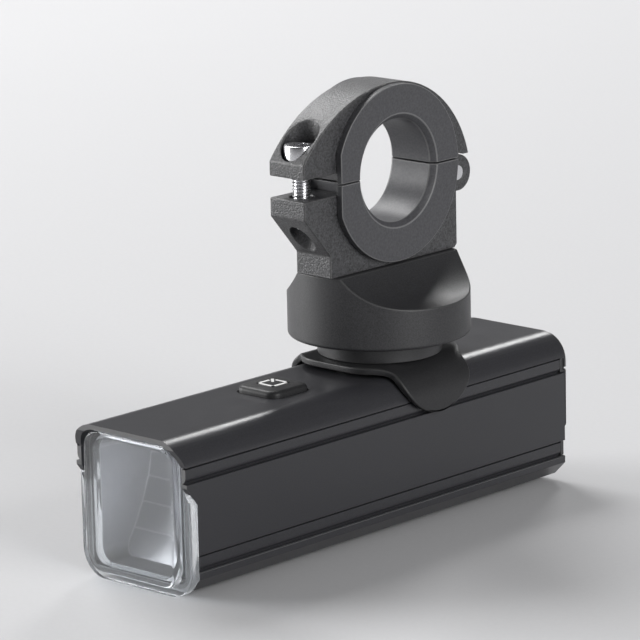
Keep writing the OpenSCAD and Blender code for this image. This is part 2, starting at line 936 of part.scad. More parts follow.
module lens_gasket() {
    color([0.25, 0.25, 0.25])
    along_lamp(face_y, face_y + gasket_t - fit)
        gasket_ring(0);
}

// How far back the bowl lies at a share of its height, 0 at the roof and 1 at the foot
function bowl_y(share) = reflector_back_y - reflector_wall - reflector_sweep * pow(share, 2);

function bowl_z(share) = bowl_top_z + share * (bowl_low_z - bowl_top_z);

// The curved back of the bowl in flat facets, from the roof down
function bowl_points(shift) = [
    for (row = [0:reflector_rows])
        [bowl_y(row / reflector_rows) + shift, bowl_z(row / reflector_rows) - shift]
];

module reflector() {
    step_y = led_board_front_y - led_board_gap;
    emitter_hole_w = emitter_w + 2 * emitter_gap;
    color([0.8, 0.8, 0.82])
    difference() {
        intersection() {
            along_lamp(mouth_y, reflector_back_y + over)
                tray(reflector_half_w, mouth_low_z, mouth_top_z, reflector_r, reflector_r);
            along_bar(body_w)
                polygon(concat(
                    [[mouth_y, mouth_top_z], [step_y, mouth_top_z], [step_y, reflector_roof_z]],
                    [[reflector_back_y, reflector_roof_z]],
                    bowl_points(reflector_wall),
                    [[mouth_y, mouth_low_z]]
                ));
        }
        intersection() {
            along_lamp(mouth_y - over, reflector_back_y)
                mouth_outline();
            along_bar(body_w)
                polygon(concat(
                    [[mouth_y - over, mouth_top_z], [step_y - reflector_wall, mouth_top_z]],
                    [[step_y - reflector_wall, bowl_top_z]],
                    bowl_points(0),
                    [[mouth_y - over, bowl_low_z]]
                ));
        }
        translate([0, emitter_y, reflector_roof_z])
            cube([emitter_hole_w, emitter_hole_w, 4 * reflector_wall], center = true);
    }
}

module led_board() {
    color([0.85, 0.85, 0.83])
    block([-led_board_half_w, led_board_front_y, led_board_low_z],
          [led_board_half_w, led_board_rear_y, cavity_top_z - fit]);
}

module led_emitter() {
    color([0.95, 0.85, 0.35])
    translate([-emitter_w / 2, emitter_y - emitter_w / 2, led_board_low_z - emitter_h])
        cube([emitter_w, emitter_w, emitter_h]);
}

module led_leads() {
    front = [lead_x, led_board_rear_y - led_board_lap, led_board_low_z - lead_r - fit];
    back = [lead_x, cradle_front_y + main_board_lap, board_top_z + lead_r + fit];
    run_y = back[1] - front[1];
    drop = front[2] - back[2];
    color([0.6, 0.1, 0.1])
    for (side = [0, 1])
        mirror([side, 0, 0])
            translate(front)
                rotate([-90 - atan2(drop, run_y), 0, 0])
                    cylinder(r = lead_r, h = norm([run_y, drop]));
}

module battery_cell() {
    color([0.2, 0.35, 0.6])
    translate([0, 0, cell_z])
        rod_y(cell_r, cell_front_y, cell_rear_y);
}

module battery_cradle() {
    color([0.3, 0.3, 0.3])
    difference() {
        intersection() {
            along_lamp(cradle_front_y, cradle_rear_y)
                cavity_outline(cradle_gap);
            union() {
                block([-big, cradle_front_y, cavity_low_z], [big, cradle_rear_y, cell_z - cradle_side_drop]);
                for (y = [cradle_front_y, cradle_rear_y - cradle_end_t])
                    block([-cradle_half_w, y, cavity_low_z], [cradle_half_w, y + cradle_end_t, cradle_top_z]);
            }
        }
        translate([0, 0, cell_z])
            rod_y(cell_r + fit, cradle_front_y + cradle_end_t, cradle_rear_y - cradle_end_t);
        for (x = [-1, 1], y = [cradle_front_y, cradle_rear_y - cradle_end_t])
            translate([x * board_screw_x, y + cradle_end_t / 2, cradle_top_z - board_screw_bite - tip_room])
                cylinder(r = board_screw_r + fit, h = board_screw_bite + tip_room + over);
        for (side = [-1, 1])
            translate([side * rear_screw_x, 0, rear_screw_z])
                rod_y(rear_screw_r + fit, cradle_rear_y - rear_screw_bite - tip_room, cradle_rear_y + over);
    }
}

module battery_contacts() {
    color([0.75, 0.75, 0.72])
    for (y = [cell_front_y - fit - contact_t, cell_rear_y + fit])
        block([-contact_w / 2, y, cell_z - contact_w / 2],
              [contact_w / 2, y + contact_t, cradle_top_z - fit]);
}

module main_board() {
    color([0.05, 0.3, 0.12])
    difference() {
        block([-board_half_w, cradle_front_y, board_low_z], [board_half_w, cradle_rear_y, board_top_z]);
        for (x = [-1, 1], y = [cradle_front_y, cradle_rear_y - cradle_end_t])
            translate([x * board_screw_x, y + cradle_end_t / 2, board_low_z - over])
                cylinder(r = board_screw_r + fit, h = board_t + 2 * over);
    }
}

module board_screws() {
    color([0.6, 0.6, 0.62])
    for (x = [-1, 1], y = [cradle_front_y, cradle_rear_y - cradle_end_t])
        translate([x * board_screw_x, y + cradle_end_t / 2, board_top_z])
            rotate([180, 0, 0])
                screw_up(board_screw_r, board_screw_head_r, board_screw_head_h, board_t + board_screw_bite);
}

module button_switch() {
    color([0.1, 0.1, 0.1])
    translate([0, button_y, board_top_z]) {
        translate([-switch_w / 2, -switch_w / 2, 0])
            cube([switch_w, switch_w, switch_h]);
        cylinder(r = plunger_r, h = switch_h + plunger_h);
    }
}

module power_button() {
    soft = 0.8;
    shoulder = 0.3 * soft;
    slice = 0.02;
    color([0.16, 0.16, 0.17])
    translate([0, button_y, 0]) {
        translate([0, 0, button_low_z])
            linear_extrude(button_flange_t)
                round_square(button_w + 2 * button_flange, button_r + button_flange);
        translate([0, 0, button_low_z])
            linear_extrude(button_top_z - button_low_z - soft)
                round_square(button_w, button_r);
        hull() {
            translate([0, 0, button_top_z - soft - slice])
                linear_extrude(slice)
                    round_square(button_w, button_r, $fn = 32);
            translate([0, 0, button_top_z - shoulder - slice])
                linear_extrude(slice)
                    round_square(button_w - 2 * shoulder, button_r - shoulder, $fn = 32);
            translate([0, 0, button_top_z - slice])
                linear_extrude(slice)
                    round_square(button_w - 2 * soft, button_r - soft, $fn = 32);
        }
    }
}

module usb_board() {
    color([0.05, 0.3, 0.12])
    block([-usb_board_half_w, cradle_rear_y, port_shell_low_z - fit - board_t],
          [usb_board_half_w, cap_inner_y - fit, port_shell_low_z - fit]);
}

// Front view of the charging socket's shell
module socket_outline(inset) {
    tray(port_shell_w / 2 - inset, port_shell_low_z + inset, port_shell_low_z + port_shell_h - inset,
         port_shell_r - inset, port_shell_r - inset);
}

module usb_socket() {
    shell_y = rear_y - port_depth;
    color([0.7, 0.7, 0.72])
    difference() {
        along_lamp(shell_y - port_shell_len, shell_y)
            socket_outline(0);
        along_lamp(shell_y - port_shell_len + port_shell_back, shell_y + over)
            socket_outline(port_shell_wall);
    }
}

module rear_cap() {
    band_half_w = body_half_w - cover_edge;
    band_top_z = body_top_z - cover_edge;
    color([0.1, 0.1, 0.105])
    difference() {
        union() {
            along_lamp(cap_inner_y, rear_y)
                cavity_outline(slip);
            for (top_z = [upper_channel_z, lower_channel_z])
                block([-body_half_w + channel_step, lug_y, top_z - channel_h + slip],
                      [body_half_w - channel_step, rear_y, top_z - slip]);
            intersection() {
                along_lamp(rear_y, rear_y + cover_t)
                    tray(band_half_w, body_low_z, band_top_z, cut_away_r, body_top_r - cover_edge);
                block([-big, 0, cover_hinge_z + cover_t / 2 + clear], [big, big, 0]);
            }
        }
        along_lamp(rear_y - port_depth, rear_y + over)
            tray(port_w / 2, port_z - port_h / 2, port_z + port_h / 2, port_r, port_r);
        along_lamp(cap_inner_y - over, rear_y)
            socket_outline(-fit);
        along_lamp(rear_groove_y, rear_groove_y + rear_groove_w)
            difference() {
                cavity_outline(0);
                cavity_outline(slip + rear_groove_d);
            }
        for (side = [-1, 1])
            translate([side * rear_screw_x, 0, rear_screw_z]) {
                rod_y(rear_screw_r + pass, cap_inner_y - over, rear_y + over);
                rod_y(rear_screw_head_r + pass, rear_y - rear_screw_head_h, rear_y + over);
            }
    }
}

module rear_gasket() {
    color([0.25, 0.25, 0.25])
    along_lamp(rear_groove_y + fit, rear_groove_y + rear_groove_w - fit)
        difference() {
            cavity_outline(fit);
            cavity_outline(slip + rear_groove_d - fit);
        }
}

module rear_screws() {
    color([0.6, 0.6, 0.62])
    for (side = [-1, 1])
        translate([side * rear_screw_x, rear_y - rear_screw_head_h, rear_screw_z])
            rotate([90, 0, 0])
                screw_up(rear_screw_r, rear_screw_head_r, rear_screw_head_h, rear_screw_len);
}

module port_cover() {
    half_w = body_half_w - cover_edge;
    corner = 2;
    color([0.08, 0.08, 0.085])
    difference() {
        along_bar(2 * half_w) {
            translate([cover_mid_y, cover_hinge_z])
                circle(cover_t / 2);
            translate([cover_mid_y - cover_t / 2, cover_low_z])
                square([cover_t, cover_hinge_z - cover_low_z]);
        }
        for (side = [0, 1])
            mirror([side, 0, 0])
                along_lamp(rear_y - over, rear_y + cover_t + over)
                    polygon([
                        [half_w - corner, cover_low_z - fit],
                        [half_w + fit, cover_low_z - fit],
                        [half_w + fit, cover_low_z + corner]
                    ]);
    }
}

clamp_base();
lower_bush();
hinge_pin();
mount_puck();
puck_screws();
clamp_cap();
upper_bush();
clamp_bolt();
turn_foot();
foot_screws();
saddle_bracket();
body_shell();
lens();
lens_gasket();
reflector();
led_board();
led_emitter();
led_leads();
battery_cell();
battery_cradle();
battery_contacts();
main_board();
board_screws();
button_switch();
power_button();
usb_board();
usb_socket();
rear_cap();
rear_gasket();
rear_screws();
port_cover();
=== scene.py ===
"""Looks of the bike headlight: rounded edges, bolt thread, power sign, materials, studio and camera."""

import json
import math

import bmesh
import bpy
from mathutils import Matrix, Vector


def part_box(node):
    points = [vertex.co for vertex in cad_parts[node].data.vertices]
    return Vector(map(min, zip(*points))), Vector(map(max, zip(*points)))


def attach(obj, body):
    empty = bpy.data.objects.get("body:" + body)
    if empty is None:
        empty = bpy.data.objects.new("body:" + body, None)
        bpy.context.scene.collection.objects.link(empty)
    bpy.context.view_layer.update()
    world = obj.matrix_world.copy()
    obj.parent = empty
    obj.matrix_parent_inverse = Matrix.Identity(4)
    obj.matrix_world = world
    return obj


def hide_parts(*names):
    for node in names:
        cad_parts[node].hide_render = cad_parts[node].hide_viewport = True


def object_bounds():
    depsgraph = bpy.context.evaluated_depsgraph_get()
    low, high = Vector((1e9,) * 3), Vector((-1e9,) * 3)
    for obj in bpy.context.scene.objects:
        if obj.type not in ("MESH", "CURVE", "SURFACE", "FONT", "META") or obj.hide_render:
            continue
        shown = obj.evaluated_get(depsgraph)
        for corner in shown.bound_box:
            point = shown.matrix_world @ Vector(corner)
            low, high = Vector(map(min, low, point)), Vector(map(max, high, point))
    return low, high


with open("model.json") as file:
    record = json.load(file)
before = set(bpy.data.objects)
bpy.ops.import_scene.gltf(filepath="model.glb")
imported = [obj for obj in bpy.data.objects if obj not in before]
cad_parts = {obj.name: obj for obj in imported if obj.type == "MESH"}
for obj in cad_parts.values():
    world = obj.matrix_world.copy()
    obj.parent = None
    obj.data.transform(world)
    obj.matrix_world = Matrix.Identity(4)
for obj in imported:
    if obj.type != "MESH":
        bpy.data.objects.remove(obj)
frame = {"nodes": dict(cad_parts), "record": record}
cad_low, cad_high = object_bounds()

MM = 0.001
RECORD = frame["record"]
SLOT_OF = {part["node"]: part["material_slot"] for part in RECORD["subparts"]}
COLOUR_OF = {entry["slot"]: entry["base_color"][:3] for entry in RECORD["materials"]}
BODY_OF = {node: body for body, nodes in RECORD["behaviour"]["bodies"].items() for node in nodes}

# Name of the face attribute that says how far a face is lightened, partly as wear and partly as painted
# highlight: 1 on a rounded edge, 3 at most
WEAR_AND_HIGHLIGHT_MARK = "rounded_edge"
MOST_WORN_AND_LIT = 3.0
# The largest share of wear and painted highlight: the lightened colour is then all there is where a face is
# marked most
FULL_WEAR_AND_HIGHLIGHT = 1 / MOST_WORN_AND_LIT


# Materials

# Detail of the noise in the patches of gloss and in the fine grain
PATCH_DETAIL = 4.0
GRAIN_DETAIL = 3.0
SIGN_WHITE = (0.85, 0.85, 0.84)


def shader_tree(name):
    """A new material, its node tree and its Principled shader."""
    made = bpy.data.materials.new(name)
    made.use_nodes = True
    return made, made.node_tree, made.node_tree.nodes["Principled BSDF"]


def place(tree):
    """Coordinates in the part's own frame."""
    return tree.nodes.new("ShaderNodeTexCoord").outputs["Object"]


def noise(tree, vector, size, detail=2.0):
    """Noise with features of about the given size in metres."""
    node = tree.nodes.new("ShaderNodeTexNoise")
    node.inputs["Scale"].default_value = 1 / size
    node.inputs["Detail"].default_value = detail
    tree.links.new(vector, node.inputs["Vector"])
    return node.outputs["Fac"]


def spread(tree, value, low, high, from_low=0.3, from_high=0.7):
    """A value spread over a range of numbers; the usual values of a noise lie between the defaults."""
    node = tree.nodes.new("ShaderNodeMapRange")
    node.inputs["From Min"].default_value = from_low
    node.inputs["From Max"].default_value = from_high
    node.inputs["To Min"].default_value = low
    node.inputs["To Max"].default_value = high
    tree.links.new(value, node.inputs["Value"])
    return node.outputs["Result"]


def mix_colours(tree, factor, first, second):
    """A blend of two colours, each a plain colour or a socket."""
    node = tree.nodes.new("ShaderNodeMix")
    node.data_type = "RGBA"
    tree.links.new(factor, node.inputs["Factor"])
    colour_inputs = [socket for socket in node.inputs if socket.type == "RGBA"]
    for socket, value in zip(colour_inputs, (first, second)):
        if isinstance(value, bpy.types.NodeSocket):
            tree.links.new(value, socket)
        else:
            socket.default_value = (*value, 1)
    return [socket for socket in node.outputs if socket.type == "RGBA"][0]


def blend_shaders(tree, factor, first, second, output):
    """Gives the output the first shader where the factor is 0 and the second where it is 1."""
    blend = tree.nodes.new("ShaderNodeMixShader")
    tree.links.new(factor, blend.inputs["Fac"])
    tree.links.new(first, blend.inputs[1])
    tree.links.new(second, blend.inputs[2])
    tree.links.new(blend.outputs["Shader"], output.inputs["Surface"])


def bump(tree, shader, height, depth):
    """Drives the shader's normal from a height, with the relief's depth in metres."""
    node = tree.nodes.new("ShaderNodeBump")
    node.inputs["Strength"].default_value = 1.0
    node.inputs["Distance"].default_value = depth
    tree.links.new(height, node.inputs["Height"])
    tree.links.new(node.outputs["Normal"], shader.inputs["Normal"])


def tinted(colour, share):
    """A colour made lighter or darker by a share of itself."""
    return tuple(min(1.0, c * share) for c in colour)


def wear_and_highlight_share(tree, amount):
    """The edge mark as a factor, for wear and painted highlight: the amount where the mark is 1, and in
    proportion elsewhere.
    """
    mark = tree.nodes.new("ShaderNodeAttribute")
    mark.attribute_name = WEAR_AND_HIGHLIGHT_MARK
    return spread(tree, mark.outputs["Fac"], 0, MOST_WORN_AND_LIT * amount, 0, MOST_WORN_AND_LIT)


def surface(name, colour, roughness, grain, depth, metallic=0.0, specular=0.5, mottle=0.2, wear_and_highlight=0.0,
            worn_and_lit=3.0, patch=6 * MM):
    """A grained surface: mottled colour, uneven gloss, fine relief, and edges lightened partly as wear and
    partly as painted highlight.
    """
    made, tree, shader = shader_tree(name)
    shader.inputs["Metallic"].default_value = metallic
    shader.inputs["Specular IOR Level"].default_value = specular
    patches = noise(tree, place(tree), patch, PATCH_DETAIL)
    fine = noise(tree, place(tree), grain, GRAIN_DETAIL)
    tone = mix_colours(tree, spread(tree, fine, 0, 1), tinted(colour, 1 - mottle), tinted(colour, 1 + mottle))
    # Marked faces are blended towards a light grey: partly edge wear, partly a painted highlight
    if wear_and_highlight:
        bare_and_lit = sum(tinted(colour, worn_and_lit)) / len(colour)
        tone = mix_colours(tree, wear_and_highlight_share(tree, wear_and_highlight), tone, (bare_and_lit, bare_and_lit, bare_and_lit))
    tree.links.new(tone, shader.inputs["Base Color"])
    tree.links.new(spread(tree, patches, *roughness), shader.inputs["Roughness"])
    bump(tree, shader, fine, depth)
    return made


def clear_plastic(name, colour):
    """The lens: clear, with faint moulding waves, letting lamp light through to the reflector."""
    clarity = 0.95
    acrylic_ior = 1.49
    wave_size = 5 * MM
    wave_depth = 0.02 * MM
    roughness = (0.02, 0.06)
    made, tree, shader = shader_tree(name)
    shader.inputs["Base Color"].default_value = (*colour, 1)
    shader.inputs["Transmission Weight"].default_value = clarity
    shader.inputs["IOR"].default_value = acrylic_ior
    waves = noise(tree, place(tree), wave_size)
    tree.links.new(spread(tree, waves, *roughness), shader.inputs["Roughness"])
    bump(tree, shader, waves, wave_depth)
    let_through = tree.nodes.new("ShaderNodeBsdfTransparent")
    let_through.inputs["Color"].default_value = (*colour, 1)
    rays = tree.nodes.new("ShaderNodeLightPath")
    blend_shaders(tree, rays.outputs["Is Shadow Ray"], shader.outputs["BSDF"], let_through.outputs["BSDF"],
                  tree.nodes["Material Output"])
    return made


def seen_share(tree):
    """1 for rays that show the surround: from the camera, mirrored, or through something clear."""
    rays = tree.nodes.new("ShaderNodeLightPath")
    total = rays.outputs["Is Camera Ray"]
    for name in ("Is Glossy Ray", "Is Transmission Ray"):
        add = tree.nodes.new("ShaderNodeMath")
        add.operation = "ADD"
        add.use_clamp = True
        tree.links.new(total, add.inputs[0])
        tree.links.new(rays.outputs[name], add.inputs[1])
        total = add.outputs["Value"]
    return total


def circuit_board(name, colour):
    """Solder mask with a faint grid of tracks."""
    track_pitch = 3 * MM
    shades = {"Color1": 0.9, "Color2": 1.2, "Mortar": 1.8}
    patch = 2 * MM
    roughness = (0.25, 0.4)
    made, tree, shader = shader_tree(name)
    cells = tree.nodes.new("ShaderNodeTexBrick")
    cells.inputs["Scale"].default_value = 1 / track_pitch
    for socket, share in shades.items():
        cells.inputs[socket].default_value = (*tinted(colour, share), 1)
    tree.links.new(place(tree), cells.inputs["Vector"])
    tree.links.new(cells.outputs["Color"], shader.inputs["Base Color"])
    patches = noise(tree, place(tree), patch)
    tree.links.new(spread(tree, patches, *roughness), shader.inputs["Roughness"])
    return made


def make_materials():
    """One material for each material slot of the record, and one for the power sign."""
    # A tone is the share by which the colour in the record is made lighter or darker
    looks = {
        # The rounded edges of these parts are painted lighter: partly wear, partly a highlight of light on
        # the edges
        "clamp_black": dict(roughness=(0.38, 0.48), grain=0.4 * MM, depth=0.13 * MM, specular=0.75,
                            mottle=0.95, wear_and_highlight=FULL_WEAR_AND_HIGHLIGHT),
        # The bush's rounded edges are painted much lighter as a highlight line
        "bush_grey": dict(tone=1.2, roughness=(0.38, 0.46), grain=0.5 * MM, depth=0.004 * MM, specular=0.4,
                          wear_and_highlight=0.33, worn_and_lit=5.0),
        "puck_satin": dict(tone=0.75, roughness=(0.42, 0.48), grain=0.3 * MM, depth=0.01 * MM,
                           mottle=0.4, wear_and_highlight=FULL_WEAR_AND_HIGHLIGHT),
        "foot_grey": dict(tone=0.4, roughness=(0.35, 0.45), grain=0.3 * MM, depth=0.005 * MM,
                          wear_and_highlight=FULL_WEAR_AND_HIGHLIGHT),
        "saddle_black": dict(tone=0.75, roughness=(0.38, 0.46), grain=0.35 * MM, depth=0.02 * MM,
                             specular=0.4, wear_and_highlight=FULL_WEAR_AND_HIGHLIGHT),
        # The body's marked faces, on its front cut faces and lower lip, are painted lighter as highlights
        "body_satin": dict(tone=1.45, roughness=(0.28, 0.31), grain=0.22 * MM, depth=0.006 * MM,
                           specular=0.45, mottle=0.22, wear_and_highlight=0.33, worn_and_lit=9.0),
        "steel": dict(roughness=(0.18, 0.3), grain=0.15 * MM, depth=0.004 * MM, metallic=1.0, mottle=0.12),
        # The reflector's rounded facet edges are painted lighter as glints
        "reflector_bright": dict(tone=0.65, roughness=(0.32, 0.38), grain=1.5 * MM, depth=0.003 * MM,
                                 metallic=1.0, mottle=0.03, wear_and_highlight=FULL_WEAR_AND_HIGHLIGHT, worn_and_lit=1.9),
        "seal_rubber": dict(roughness=(0.6, 0.75), grain=0.2 * MM, depth=0.01 * MM),
        "led_board_white": dict(roughness=(0.4, 0.5), grain=0.4 * MM, depth=0.004 * MM, mottle=0.05),
        "emitter_yellow": dict(roughness=(0.3, 0.4), grain=0.1 * MM, depth=0.004 * MM, mottle=0.1),
        "lead_red": dict(roughness=(0.4, 0.5), grain=0.3 * MM, depth=0.006 * MM),
        "cell_wrap": dict(roughness=(0.25, 0.35), grain=0.6 * MM, depth=0.004 * MM),
        "cradle_plastic": dict(roughness=(0.45, 0.55), grain=0.4 * MM, depth=0.01 * MM),
        "contact_metal": dict(roughness=(0.25, 0.35), grain=0.2 * MM, depth=0.004 * MM, metallic=1.0,
                              mottle=0.1),
        "switch_plastic": dict(roughness=(0.45, 0.55), grain=0.3 * MM, depth=0.008 * MM),
        "button_rubber": dict(tone=0.4, roughness=(0.38, 0.46), grain=0.3 * MM, depth=0.012 * MM,
                              specular=0.25, mottle=0.25),
        "socket_steel": dict(roughness=(0.25, 0.35), grain=0.2 * MM, depth=0.004 * MM, metallic=1.0,
                             mottle=0.1),
        "cap_plastic": dict(roughness=(0.42, 0.5), grain=0.25 * MM, depth=0.015 * MM, wear_and_highlight=0.3),
        "cover_rubber": dict(roughness=(0.55, 0.65), grain=0.22 * MM, depth=0.015 * MM, specular=0.35),
    }
    made = {slot: surface(slot, tinted(COLOUR_OF[slot], look.pop("tone", 1)), **look)
            for slot, look in looks.items()}
    made["lens_clear"] = clear_plastic("lens_clear", COLOUR_OF["lens_clear"])
    made["board_green"] = circuit_board("board_green", COLOUR_OF["board_green"])
    made["symbol_white"] = surface("symbol_white", SIGN_WHITE, roughness=(0.4, 0.5), grain=0.2 * MM,
                                   depth=0.003 * MM, mottle=0.04)
    return made


MATERIALS = make_materials()


# Mesh building

# Points closer than this are one point
WELD = 0.002 * MM
# Neighbouring faces within this angle lie in one plane
FLAT = math.radians(0.4)
# Edges above this angle count as sharp
SHARP = math.radians(32)
# Edges above this angle stay sharp in the shading
SHADE_SHARP = math.radians(38)
# A direction with at least this share along an axis runs along it
ALONG = 0.98
# A normal with at least this share along an axis faces that way
FACING = 0.99


def welded(node):
    """A CAD node's surface as one joined mesh, with its flat areas as single faces."""
    bm = bmesh.new()
    bm.from_mesh(frame["nodes"][node].data)
    bmesh.ops.remove_doubles(bm, verts=bm.verts, dist=WELD)
    bmesh.ops.dissolve_limit(bm, angle_limit=FLAT, verts=bm.verts, edges=bm.edges)
    return bm


def round_edges(bm, width, segments=3, choose=lambda edge: True, above=SHARP, worn_and_lit=1.0):
    """Rounds the sharp edges that are chosen and marks how far the new faces are lightened, partly as wear
    and partly as painted highlight.
    """
    mark = bm.faces.layers.float.get(WEAR_AND_HIGHLIGHT_MARK) or bm.faces.layers.float.new(WEAR_AND_HIGHLIGHT_MARK)
    sharp = [e for e in bm.edges if len(e.link_faces) == 2 and e.calc_face_angle() > above and choose(e)]
    made = bmesh.ops.bevel(bm, geom=sharp, offset=width, offset_type="OFFSET", segments=segments, profile=0.5,
                           affect="EDGES", clamp_overlap=False)
    for face in made["faces"]:
        face[mark] = worn_and_lit


def add_piece(name, bm, body, slot, material=None, shade_sharp=SHADE_SHARP):
    """Puts a mesh into the scene as a piece that rides on a body and has a slot's finish."""
    mesh = bpy.data.meshes.new(name)
    bm.to_mesh(mesh)
    bm.free()
    mesh.shade_smooth()
    mesh.set_sharp_from_angle(angle=shade_sharp)
    mesh.materials.append(material or MATERIALS[slot])
    piece = bpy.data.objects.new(name, mesh)
    bpy.context.scene.collection.objects.link(piece)
    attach(piece, body)
    return piece


def stand_for(node, suffix, bm, shade_sharp=SHADE_SHARP):
    """Adds a mesh as the piece that replaces a CAD node."""
    piece = add_piece(node + suffix, bm, BODY_OF[node], SLOT_OF[node], shade_sharp=shade_sharp)
    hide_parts(node)
    return piece


def weigh_normals(piece):
    """Keeps large faces flat beside their rounded edges."""
    modifier = piece.modifiers.new("flat_faces", "WEIGHTED_NORMAL")
    modifier.keep_sharp = True


def dress(node, width, shade_sharp=SHADE_SHARP, **options):
    """Stands for a CAD node with the same shape and edges rounded by a width."""
    bm = welded(node)
    round_edges(bm, width, **options)
    weigh_normals(stand_for(node, "_dressed", bm, shade_sharp))


def middle(edge):
    """The middle of an edge."""
    return (edge.verts[0].co + edge.verts[1].co) / 2


def runs_along_lamp(edge):
    """True for an edge along the lamp's length."""
    way = edge.verts[1].co - edge.verts[0].co
    return abs(way.y) > ALONG * way.length


def loft(bm, rings):
    """Joins rings of the same number of points with faces, in order."""
    rows = [[bm.verts.new(point) for point in ring] for ring in rings]
    count = len(rows[0])
    for low, high in zip(rows, rows[1:]):
        for i in range(count):
            j = (i + 1) % count
            bm.faces.new((low[i], low[j], high[j], high[i]))
    return rows


def close_ends(bm, rows):
    """Closes a loft with a face at each end."""
    bm.faces.new(list(reversed(rows[0])))
    bm.faces.new(rows[-1])


def polar(radius, angle, z):
    """A point at a radius and an angle round the upright axis."""
    return Vector((radius * math.cos(angle), radius * math.sin(angle), z))


def circle_ring(radius, z, count):
    """Points of a level circle."""
    return [polar(radius, 2 * math.pi * i / count, z) for i in range(count)]


def hexagon_ring(flats, z, count):
    """Points of a level hexagon, as many as a circle has."""
    ring = []
    for i in range(count):
        angle = 2 * math.pi * i / count
        to_flat = (angle % (math.pi / 3)) - math.pi / 6
        ring.append(polar(flats / 2 / math.cos(to_flat), angle, z))
    return ring


# The clamp, the puck and the saddle

# How far the edges of the mount's nodes are rounded
MOUNT_ROUNDS = {
    "clamp_base": 0.3 * MM,
    "clamp_cap": 0.3 * MM,
    "lower_bush": 0.2 * MM,
    "upper_bush": 0.2 * MM,
    "mount_puck": 0.3 * MM,
    "turn_foot": 0.35 * MM,
}


def dress_mount():
    """Rounded edges on the clamp's jaws, the bush, the puck and the foot, and a bent saddle."""
    for node, width in MOUNT_ROUNDS.items():
        dress(node, width)
    add_saddle()


def saddle_profile(half_w, bend_r, top_z, reach):
    """Point and outward direction on the bent sheet's outside, at a distance from its middle."""
    flat = half_w - bend_r
    side = math.copysign(1, reach)
    over = abs(reach) - flat
    angle = min(max(over / bend_r, 0), math.pi / 2)
    drop = max(over - bend_r * math.pi / 2, 0)
    out = Vector((side * math.sin(angle), 0, math.cos(angle)))
    x = side * min(abs(reach), flat) + bend_r * out.x
    return Vector((x, 0, top_z - bend_r + bend_r * out.z - drop)), out


def smooth_step(share):
    """Goes from 0 to 1 as the share does, with a gentle start and end."""
    return share ** 3 * (6 * share ** 2 - 15 * share + 10)


def saddle_half_length(reach, end, waist, half_len, half_waist):
    """Half the sheet's length there: long over the middle, drawn in at the bends, round at its ends."""
    if reach >= waist:
        return half_waist * math.sqrt(max(1 - ((reach - waist) / (end - waist)) ** 2, 0))
    return half_len - (half_len - half_waist) * smooth_step((reach / waist) ** 2)


def add_saddle():
    """A bent sheet on a round pad over the body; its edges sweep down into a round tongue on each side."""
    node = "saddle_bracket"
    low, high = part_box(node)
    half_w = high.x
    bend_r = 7.9 * MM
    sheet_t = 1.5 * MM
    overhang = 0.6 * MM
    half_len = high.y + overhang
    half_waist = 10.9 * MM
    waist_share = 0.615
    edge = 0.35 * MM
    edge_angle = math.radians(50)
    pad_r = 10.5 * MM
    pad_points = 64
    columns = 120
    rows = 12
    end = half_w - bend_r + bend_r * math.pi / 2 + high.z - bend_r - low.z
    waist = waist_share * end
    bm = bmesh.new()
    sheets = []
    for depth in (0, sheet_t):
        sheet = []
        for i in range(columns + 1):
            reach = end * math.sin(math.pi * (i / columns - 0.5))
            point, out = saddle_profile(half_w, bend_r, high.z, reach)
            half = saddle_half_length(abs(reach), end, waist, half_len, half_waist)
            sheet.append([bm.verts.new(point - out * depth + Vector((0, half * (2 * j / rows - 1), 0)))
                          for j in range(rows + 1)])
        sheets.append(sheet)
    for i in range(columns):
        for j in range(rows):
            for sheet in sheets:
                bm.faces.new((sheet[i][j], sheet[i + 1][j], sheet[i + 1][j + 1], sheet[i][j + 1]))
        for j in (0, rows):
            bm.faces.new((sheets[0][i][j], sheets[0][i + 1][j], sheets[1][i + 1][j], sheets[1][i][j]))
    bmesh.ops.remove_doubles(bm, verts=bm.verts, dist=WELD)
    bmesh.ops.recalc_face_normals(bm, faces=bm.faces)
    round_edges(bm, edge, above=edge_angle)
    body_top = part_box("body_shell")[1].z
    pad_heights = (body_top, high.z - sheet_t)
    close_ends(bm, loft(bm, [circle_ring(pad_r, z, pad_points) for z in pad_heights]))
    weigh_normals(stand_for(node, "_bent", bm))


